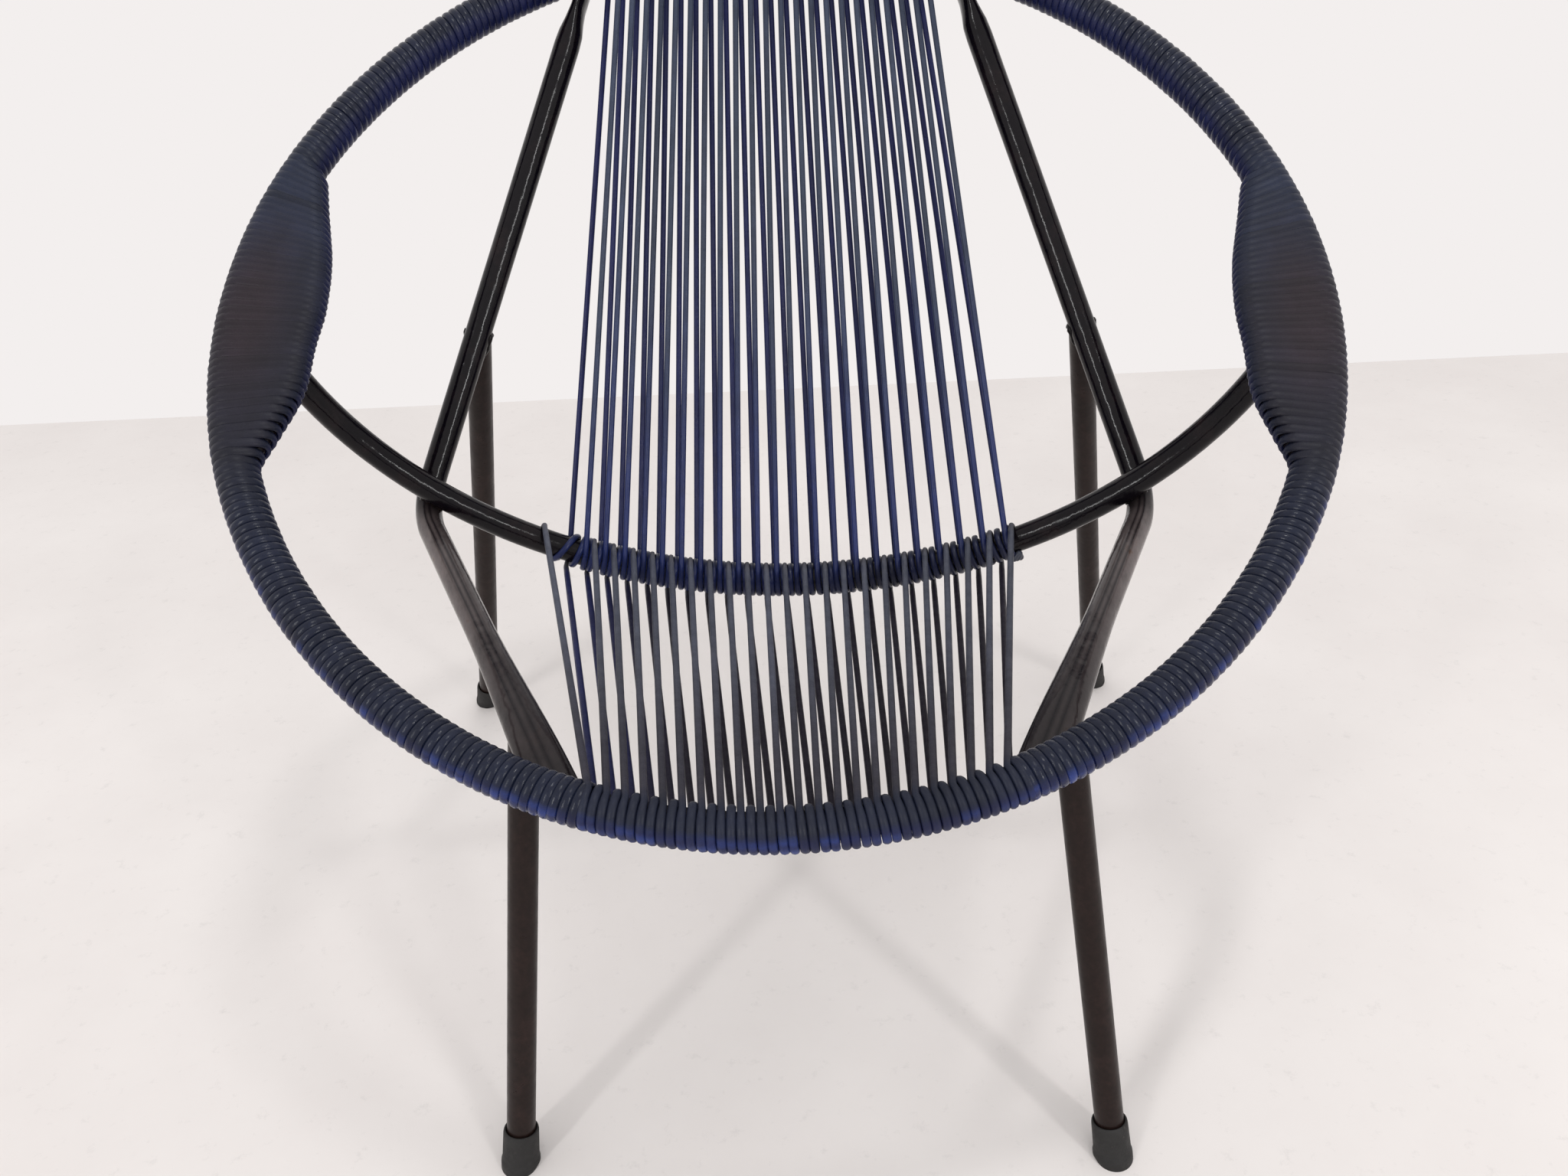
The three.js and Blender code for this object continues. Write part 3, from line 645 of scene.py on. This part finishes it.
def bead(name, path, radius, closed=True):
    """A lumpy weld bead along a line, swelling and shrinking with each ripple."""
    ripple = RIPPLE * np.sin(np.arange(len(path)) * RIPPLE_TURN)
    swell = radius * (1 + ripple + rng.normal(0, RIPPLE_SCATTER, len(path)))
    verts, faces = sweep(path, unit(path - path.mean(axis=0)), swell, swell * BEAD_WIDE, closed)
    make_mesh(name, verts, faces, weld_look)


def leg_weld(name, meeting, direction, line):
    """The weld where a leg's surface meets the tube of a rail that runs along line."""
    ring = TUBE_R * around(direction, WELD_POINTS)
    # Where |flat_ring - t * flat_dir| is the tube's radius, both seen along the rail
    flat_dir = direction - direction.dot(line) * line
    flat_ring = ring - (ring @ line)[:, None] * line
    a, b = flat_dir.dot(flat_dir), flat_ring @ flat_dir
    c = np.sum(flat_ring ** 2, axis=1) - TUBE_R ** 2
    t = (b + np.sqrt(np.maximum(b * b - a * c, 0))) / a
    bead(name, meeting - direction * t[:, None] + ring * 1.02, LEG_WELD_R)


for (end, sign), (foot_x, foot_y) in FEET.items():
    rail, word = RAILS[sign], SIDES[sign]
    foot = np.array([sign * foot_x, foot_y, 0.0])
    target, line = (rail["front"], rail["forward"]) if end == "front" else (rail["top"], rail["up"])
    meeting = mix(rail["corner"], target, LEG_SHARE[end])
    direction = unit(meeting - foot)
    leg_path = mix(foot + direction * LEG_FLOOR_GAP, meeting, np.linspace(0, 1, 60)[:, None])
    tube(f"{end}_leg_tube_{word}", leg_path, np.array([0, 1.0, 0]), TUBE_R, TUBE_R, leg_look,
         [f"{end}_leg_{word}"])
    make_cap(f"{end}_cap_{word}", foot, direction, [f"foot_cap_{end}_{word}"])
    leg_weld(f"weld_{end}_{word}", meeting, direction, line)

for sign, word in SIDES.items():
    angle = bar_angle(sign * RAIL_CROSSING[sign])
    crossing, tangent, rail = bar_at(angle), bar_tangent(angle), RAILS[sign]
    inside = square_to(rail["up"] + rail["forward"], tangent)
    across = np.cross(inside, tangent)
    s = np.linspace(-1, 1, 14)[:, None]
    middle = crossing - inside * (TUBE_R - 0.4) + tangent * BAR_WELD_HALF * s
    for number, way in enumerate((-1, 1)):
        bead(f"weld_crossing_{number}_{word}", middle + across * way * (BAR_WELD_ASIDE + 0.8 * s ** 2),
             BAR_WELD_R, False)

# Cord wound on both sides of the hoop

BACK_TOP, FRONT_LOW = arc_at(math.pi / 2), arc_at(1.5 * math.pi)
HALF_SPAN = LOOPS / 2 * HOOP_LOOP_PITCH
# Where the windings start at the back and end at the front, beside the loops of the strung cord,
# with a few millimetres more or less on each side
BACK_EDGE = {-1: BACK_TOP + HALF_SPAN - BACK_SHIFT - 6, 1: BACK_TOP + HALF_SPAN + BACK_SHIFT}
FRONT_EDGE = {-1: FRONT_LOW - HALF_SPAN + SEAT_SHIFT + 7, 1: FRONT_LOW - HALF_SPAN - SEAT_SHIFT + 2}
TINY = 1e-6
# Scatter among turns: of their place along the hoop, their height and their shade
TURN_JITTER, TURN_LIFT, TURN_SHADE = 0.28, 0.1, 0.09


def smooth_curve(points, steps=30):
    """A Catmull-Rom curve through points."""
    knots = np.array([points[0], *points, points[-1]], float)
    u = np.linspace(0, 1, steps, endpoint=False)[:, None]
    curve = []
    for k in range(1, len(knots) - 2):
        p0, p1, p2, p3 = knots[k - 1:k + 3]
        curve.append(0.5 * (2 * p1 + (p2 - p0) * u + (2 * p0 - 5 * p1 + 4 * p2 - p3) * u ** 2
                            + (3 * p1 - p0 - 3 * p2 + p3) * u ** 3))
    return np.concatenate(curve + [knots[-1:]])


ARM_CURVE = smooth_curve(ARM_SHARES)


def arm_place(angle, sign):
    """The share of the armrest's length at an angle round the hoop."""
    arm_start, arm_end, _ = ARMS[sign]
    return (angle - arm_start) / (arm_end - arm_start)


def bow_offset(angle, sign):
    """How far the bow's centre line lies inside the hoop's."""
    return ARMS[sign][2] * np.interp(arm_place(angle, sign), ARM_CURVE[:, 0], ARM_CURVE[:, 1])


def belt(share, offset, half):
    """Points and outward normals at a share of the way round the hoop's tube and the bow beside it.

    The cord lies like a belt: round half the tube, straight across, round the bow, straight back
    and round the tube's other half. u points inwards from the tube's centre and v up.
    """
    big, small = TUBE_R + half, BOW_R + half
    offset = np.maximum(offset, TINY)
    lean = np.arccos(np.clip((TUBE_R - BOW_R) / offset, -1, 1))
    line = offset * np.sin(lean)
    ends = np.cumsum([(math.pi - lean) * big, line, 2 * lean * small, line, (math.pi - lean) * big], axis=0)
    way = share * ends[-1]
    stretch = [way < end for end in ends[:4]]
    theta = np.select(stretch, [math.pi - way / big, lean, lean - (way - ends[1]) / small, -lean],
                      -lean - (way - ends[3]) / big)
    line = np.maximum(line, TINY)
    to_bow = np.select(stretch, [0, (way - ends[0]) / line, 1, 1 - (way - ends[2]) / line], 0)
    radius = mix(big, small, to_bow)
    nu, nv = np.cos(theta), np.sin(theta)
    return to_bow * offset + radius * nu, radius * nv, nu, nv


def make_winding(sign, word):
    turns = int(round((FRONT_EDGE[sign] - BACK_EDGE[sign]) / WINDING_PITCH))
    share = np.arange(turns * TURN_POINTS + 1) / TURN_POINTS
    ends = np.arange(turns + 2)
    jitter = np.interp(share, ends, rng.normal(0, TURN_JITTER, turns + 2))
    angle = angle_at(mix(BACK_EDGE[sign], FRONT_EDGE[sign], share / turns) + jitter)
    centre, _, inward = hoop_frame(angle)
    lift = np.interp(share, ends, rng.normal(0, TURN_LIFT, turns + 2))
    u, v, nu, nv = belt(share % 1, bow_offset(angle, sign), TURN_HALF + np.abs(lift))
    path = on_side(centre + u[:, None] * inward + v[:, None] * NORMAL, sign)
    out = (nu[:, None] * inward + nv[:, None] * NORMAL) * np.array([-sign, 1, 1])
    shade = 1 + rng.normal(0, TURN_SHADE, turns + 2)
    tint = turn_tint(out, np.interp(share, ends, shade), smoothstep(0, -0.6, np.sin(angle)))
    place = arm_place(angle, sign)
    on_arm = smoothstep(-0.08, 0.12, place) * (1 - smoothstep(0.92, 1.12, place))
    on_top = (on_arm * smoothstep(0.3, 0.85, nv) * 0.92)[:, None]
    tint = mix(tint, arm_tint(place, u, shade[share.astype(int)]), on_top)
    tint = np.concatenate([tint, 1 - on_arm[:, None]], axis=1)
    wide = mix(WINDING_WIDE, ARM_TURN_WIDE, on_arm * smoothstep(0.2, 0.8, nv))
    verts, faces = sweep(path, out, TURN_HALF, wide)
    make_mesh(f"winding_{word}", verts, faces, winding_look, [f"hoop_winding_{word}"],
              per_ring(tint))


def make_bow(sign, word):
    angle = np.linspace(*ARMS[sign][:2], 60)
    centre, _, inward = hoop_frame(angle)
    path = on_side(centre + bow_offset(angle, sign)[:, None] * inward, sign)
    tube(f"bow_{word}", path, NORMAL, BOW_R, BOW_R, frame_look, [f"arm_bow_{word}"],
         BOW_SIDES)


for sign, word in SIDES.items():
    make_winding(sign, word)
    make_bow(sign, word)

# Cord strung in the back and the seat

WRAP_STEPS, BAR_STEPS, SEAT_WRAP_STEPS, SEAT_LOOP_STEPS, STRAND_STEPS = 40, 62, 44, 26, 26
SEAT_LOOP_SKIP = 9
# Radii at which the seat's cord passes the bar: between the blue turns, and over them
INNER, OUTER = TUBE_R + 1.9, TUBE_R + 2 * BAR_TURN_HALF + 2.2
# Under the bar and a little in front of it, where the knot hangs
DOWN = np.array([0, -0.55, -0.83])
# Scatter among loops: of their place along the bar, and their shade
LOOP_WANDER, LOOP_SHADE = 0.3, 0.07


class Run:
    """A cord's path, with its outward side, its section and its tint at each point."""

    def __init__(self):
        self.stretches = []

    def add(self, path, out, half, wide, tint):
        count = len(path)
        self.stretches.append((path, np.broadcast_to(out, (count, 3)), np.broadcast_to(half, count),
                               np.broadcast_to(wide, count), np.broadcast_to(tint, (count, 3))))

    def build(self, name, look, slot, node):
        path, out, half, wide, tint = (np.concatenate(part) for part in zip(*self.stretches))
        verts, faces = sweep(path, out, half, wide)
        make_mesh(name, verts, faces, look, node, per_ring(tint))


def loop_places(pitch, shift, growth=0.0):
    steps = np.arange(LOOPS) - (LOOPS - 1) / 2
    return shift + steps * pitch + growth / 2 * (steps ** 2 - steps[0] ** 2)


def turning(start, turns, steps, reach, spin):
    """Outward directions of a wrap that starts square to reach, and the turns passed at each."""
    step = np.linspace(start, start + turns, steps)
    turn = math.pi / 2 + 2 * math.pi * step
    return step, np.cos(turn)[:, None] * reach + np.sin(turn)[:, None] * spin


def hoop_wrap(arc, other_end, steps):
    """Turns round the hoop from arc onwards, starting on the side that other_end's cord meets."""
    middle, tangent, _ = hoop_frame(angle_at(arc))
    way = -1 if tangent.dot(BAR_ACROSS) < 0 else 1
    reach = square_to(other_end - middle, tangent)
    step, out = turning(0, HOOP_TURNS, steps, reach, np.cross(way * tangent, reach))
    return hoop_at(angle_at(arc + way * HOOP_TURN_PITCH * step)) + out * (TUBE_R + TURN_HALF), out


def bar_wrap(place, other_end, steps, start, turns, radius, shift):
    """Turns round the crossbar: start and turns count from the front, down and round behind."""
    angle = bar_angle(place)
    centre, tangent = bar_at(angle), bar_tangent(angle)
    reach = square_to(other_end - centre, tangent)
    step, out = turning(start, turns, steps, reach, np.cross(tangent, reach))
    radius = np.broadcast_to(radius(step), steps)[:, None]
    return bar_at(bar_angle(place + shift(step))) + out * radius, out


def strand(start, end, sag=0.0):
    """A run between the ends of two wraps, each given as a point and its outward direction."""
    t = np.linspace(0, 1, STRAND_STEPS)[1:-1, None]
    path = mix(start[0], end[0], t)
    path[:, 2] -= (4 * t * (1 - t))[:, 0] * sag
    return path, unit(mix(start[1], end[1], t)), t[:, 0]


def flattened(steps, turn_size):
    """Round where the cord runs free, flattened where it lies on a tube."""
    edge = np.minimum(np.linspace(0, 1, steps), np.linspace(1, 0, steps)) * 12
    return mix(CORD_R, turn_size, smoothstep(0, 1, edge))


# The turns lean with the tubes' curves, so the places widen a little towards the ends
back_bar = loop_places(BAR_PITCH, BAR_SHIFT, BAR_GROWTH) * BAR_STRETCH
back_hoop = BACK_TOP - (loop_places(HOOP_LOOP_PITCH, BACK_SHIFT) * BACK_STRETCH + BACK_NUDGE)
seat_hoop = FRONT_LOW + loop_places(HOOP_LOOP_PITCH, SEAT_SHIFT)
seat_bar = back_bar + SEAT_REACH - END_REACH_LOSS * smoothstep(-60, -170, back_bar)
seat_bar[0] = back_bar[0] - FIRST_SEAT_REACH
wander = rng.normal(0, LOOP_WANDER, LOOPS)


def back_turns(i):
    """The shift along the bar with each turn, which leaves room for the seat's loop on top."""
    wide = 1 + BAR_GROWTH * (i - (LOOPS - 1) / 2) / BAR_PITCH

    def shift(step):
        on_top = 1.2 * bump((step - 1.75) / 0.25) - 2.2 * bump((step - 0.75) / 0.25)
        return (BAR_TURN_PITCH * step + on_top) * wide
    return shift


def first_turn(step):
    """The cord's start: once round, then slanting down across the front, and up behind."""
    return np.interp(step, (0.5, 0.75, 1.25, 1.5, 1.75, 2.25, 2.5), (13.5, 11.4, 7.6, 8.5, 5.6, -8, 3.5))


def make_back():
    """From the bar's left end: round the bar, up behind, over the hoop, down in front and on."""
    back, last = Run(), None
    for i in range(LOOPS):
        is_last = i + 1 == LOOPS
        shade = 1 + rng.normal(0, LOOP_SHADE)
        place = back_bar[i] + wander[i]
        start, turns = (0.5, 2.0) if i == 0 else (0.0, LAST_BAR_TURNS if is_last else BAR_TURNS)
        path, out = bar_wrap(place, hoop_at(angle_at(back_hoop[i])), BAR_STEPS, start, turns,
                             lambda step: TUBE_R + BAR_TURN_HALF, back_turns(i) if i else first_turn)
        if i > 0:
            # The front layer comes down from the hoop, worn at the top and blue near the bar
            run, run_out, t = strand(last, (path[0], out[0]))
            fade = smoothstep(0.3 + 0.25 * rng.random(), 1.0, t)[:, None]
            worn = mix(BACK_WORN * 0.8, BACK_WORN * 1.1, rng.random())
            back.add(run, run_out, CORD_R, CORD_R, mix(worn, BACK_NAVY, fade) * shade)
        dark = smoothstep(5, 15, i) * (0.4 + 0.6 * rng.random())
        back.add(path, out, flattened(BAR_STEPS, BAR_TURN_HALF), flattened(BAR_STEPS, BAR_TURN_WIDE),
                 bar_tint(out, shade, dark))
        if not is_last:
            up, up_out = hoop_wrap(back_hoop[i], bar_at(bar_angle(place)), WRAP_STEPS)
            run, run_out, _ = strand((path[-1], out[-1]), (up[0], up_out[0]))
            back.add(run, run_out, CORD_R, CORD_R, BACK_REAR * (0.85 + 0.3 * rng.random()))
            back.add(up, up_out, flattened(WRAP_STEPS, TURN_HALF), flattened(WRAP_STEPS, TURN_WIDE),
                     turn_tint(up_out, np.full(WRAP_STEPS, shade), 0))
            last = (up[-1], up_out[-1])
    back.build("back_cord", back_look, "back_cord", ["back_strands"])


def make_knot():
    """The knot that ends the back's cord, tied under the bar's right end."""
    angle = bar_angle(back_bar[-1] + KNOT_PLACE)
    tangent = bar_tangent(angle)
    turn = round_points(KNOT_POINTS)
    knot = bar_at(angle) + DOWN * (TUBE_R + KNOT_BELOW) + tangent * (KNOT_ALONG * np.sin(2 * turn))[:, None]
    knot = knot + unit(np.cross(tangent, -DOWN)) * (KNOT_ASIDE * np.sin(turn))[:, None]
    knot = knot + DOWN * (KNOT_DEPTH * np.cos(3 * turn))[:, None]
    verts, faces = sweep(knot, unit(knot - knot.mean(axis=0)), KNOT_HALF, KNOT_HALF, True)
    make_mesh("back_cord_knot", verts, faces, back_look, None,
              per_ring(np.broadcast_to(SEAT_TOP * 0.8, (KNOT_POINTS, 3))))


def make_seat():
    """From the bar's left end: over its top, down to the hoop's front, round it, and back below."""
    seat, last = Run(), None
    for i in range(LOOPS):
        shade = 1 + rng.normal(0, LOOP_SHADE)
        place = seat_bar[i] + wander[i]
        low_place = place if i == 0 else seat_bar[i - 1] + (FIRST_LOW_REACH if i == 1 else LOW_REACH)
        gap = place - low_place
        # Up behind the bar over the blue turns, then over its top between two of them
        path, out = bar_wrap(low_place, hoop_at(angle_at(seat_hoop[i])), SEAT_LOOP_STEPS, 0.0, 0.5,
                             lambda step: mix(OUTER, INNER, smoothstep(0.14, 0.36, step)),
                             lambda step: gap * smoothstep(0.05, 0.35, step))
        if i > 0:
            run, run_out, _ = strand(last, (path[0], out[0]), LOW_SAG)
            low = mix(BACK_REAR, mix(SEAT_LOW, SEAT_LOW * 1.35, rng.random()), smoothstep(1, 6, i))
            seat.add(run, run_out, CORD_R, CORD_R, low * shade)
        skip = 0 if i else SEAT_LOOP_SKIP
        seat.add(path[skip:], out[skip:], CORD_R * 0.9, CORD_R * 0.9, SEAT_LOOP * shade)
        front, front_out = hoop_wrap(seat_hoop[i], bar_at(bar_angle(place)), SEAT_WRAP_STEPS)
        run, run_out, t = strand((path[-1], out[-1]), (front[0], front_out[0]), SEAT_SAG)
        worn = mix(SEAT_TOP * 0.85, SEAT_TOP * 1.1, rng.random())
        worn = mix(worn, SEAT_FRONT, smoothstep(0.25, 1, t)[:, None])
        seat.add(run, run_out, CORD_R, CORD_R * 1.02, worn * shade)
        seat.add(front, front_out, flattened(SEAT_WRAP_STEPS, TURN_HALF),
                 flattened(SEAT_WRAP_STEPS, TURN_WIDE),
                 turn_tint(front_out, np.full(SEAT_WRAP_STEPS, shade), 1))
        last = (front[-1], front_out[-1])
    seat.build("seat_cord", seat_look, "seat_cord", ["seat_strands"])


make_back()
make_knot()
make_seat()

# The hoop's tube is the CAD's own
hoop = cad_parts["hoop_tube"]
hoop.data.materials.clear()
hoop.data.materials.append(frame_look)
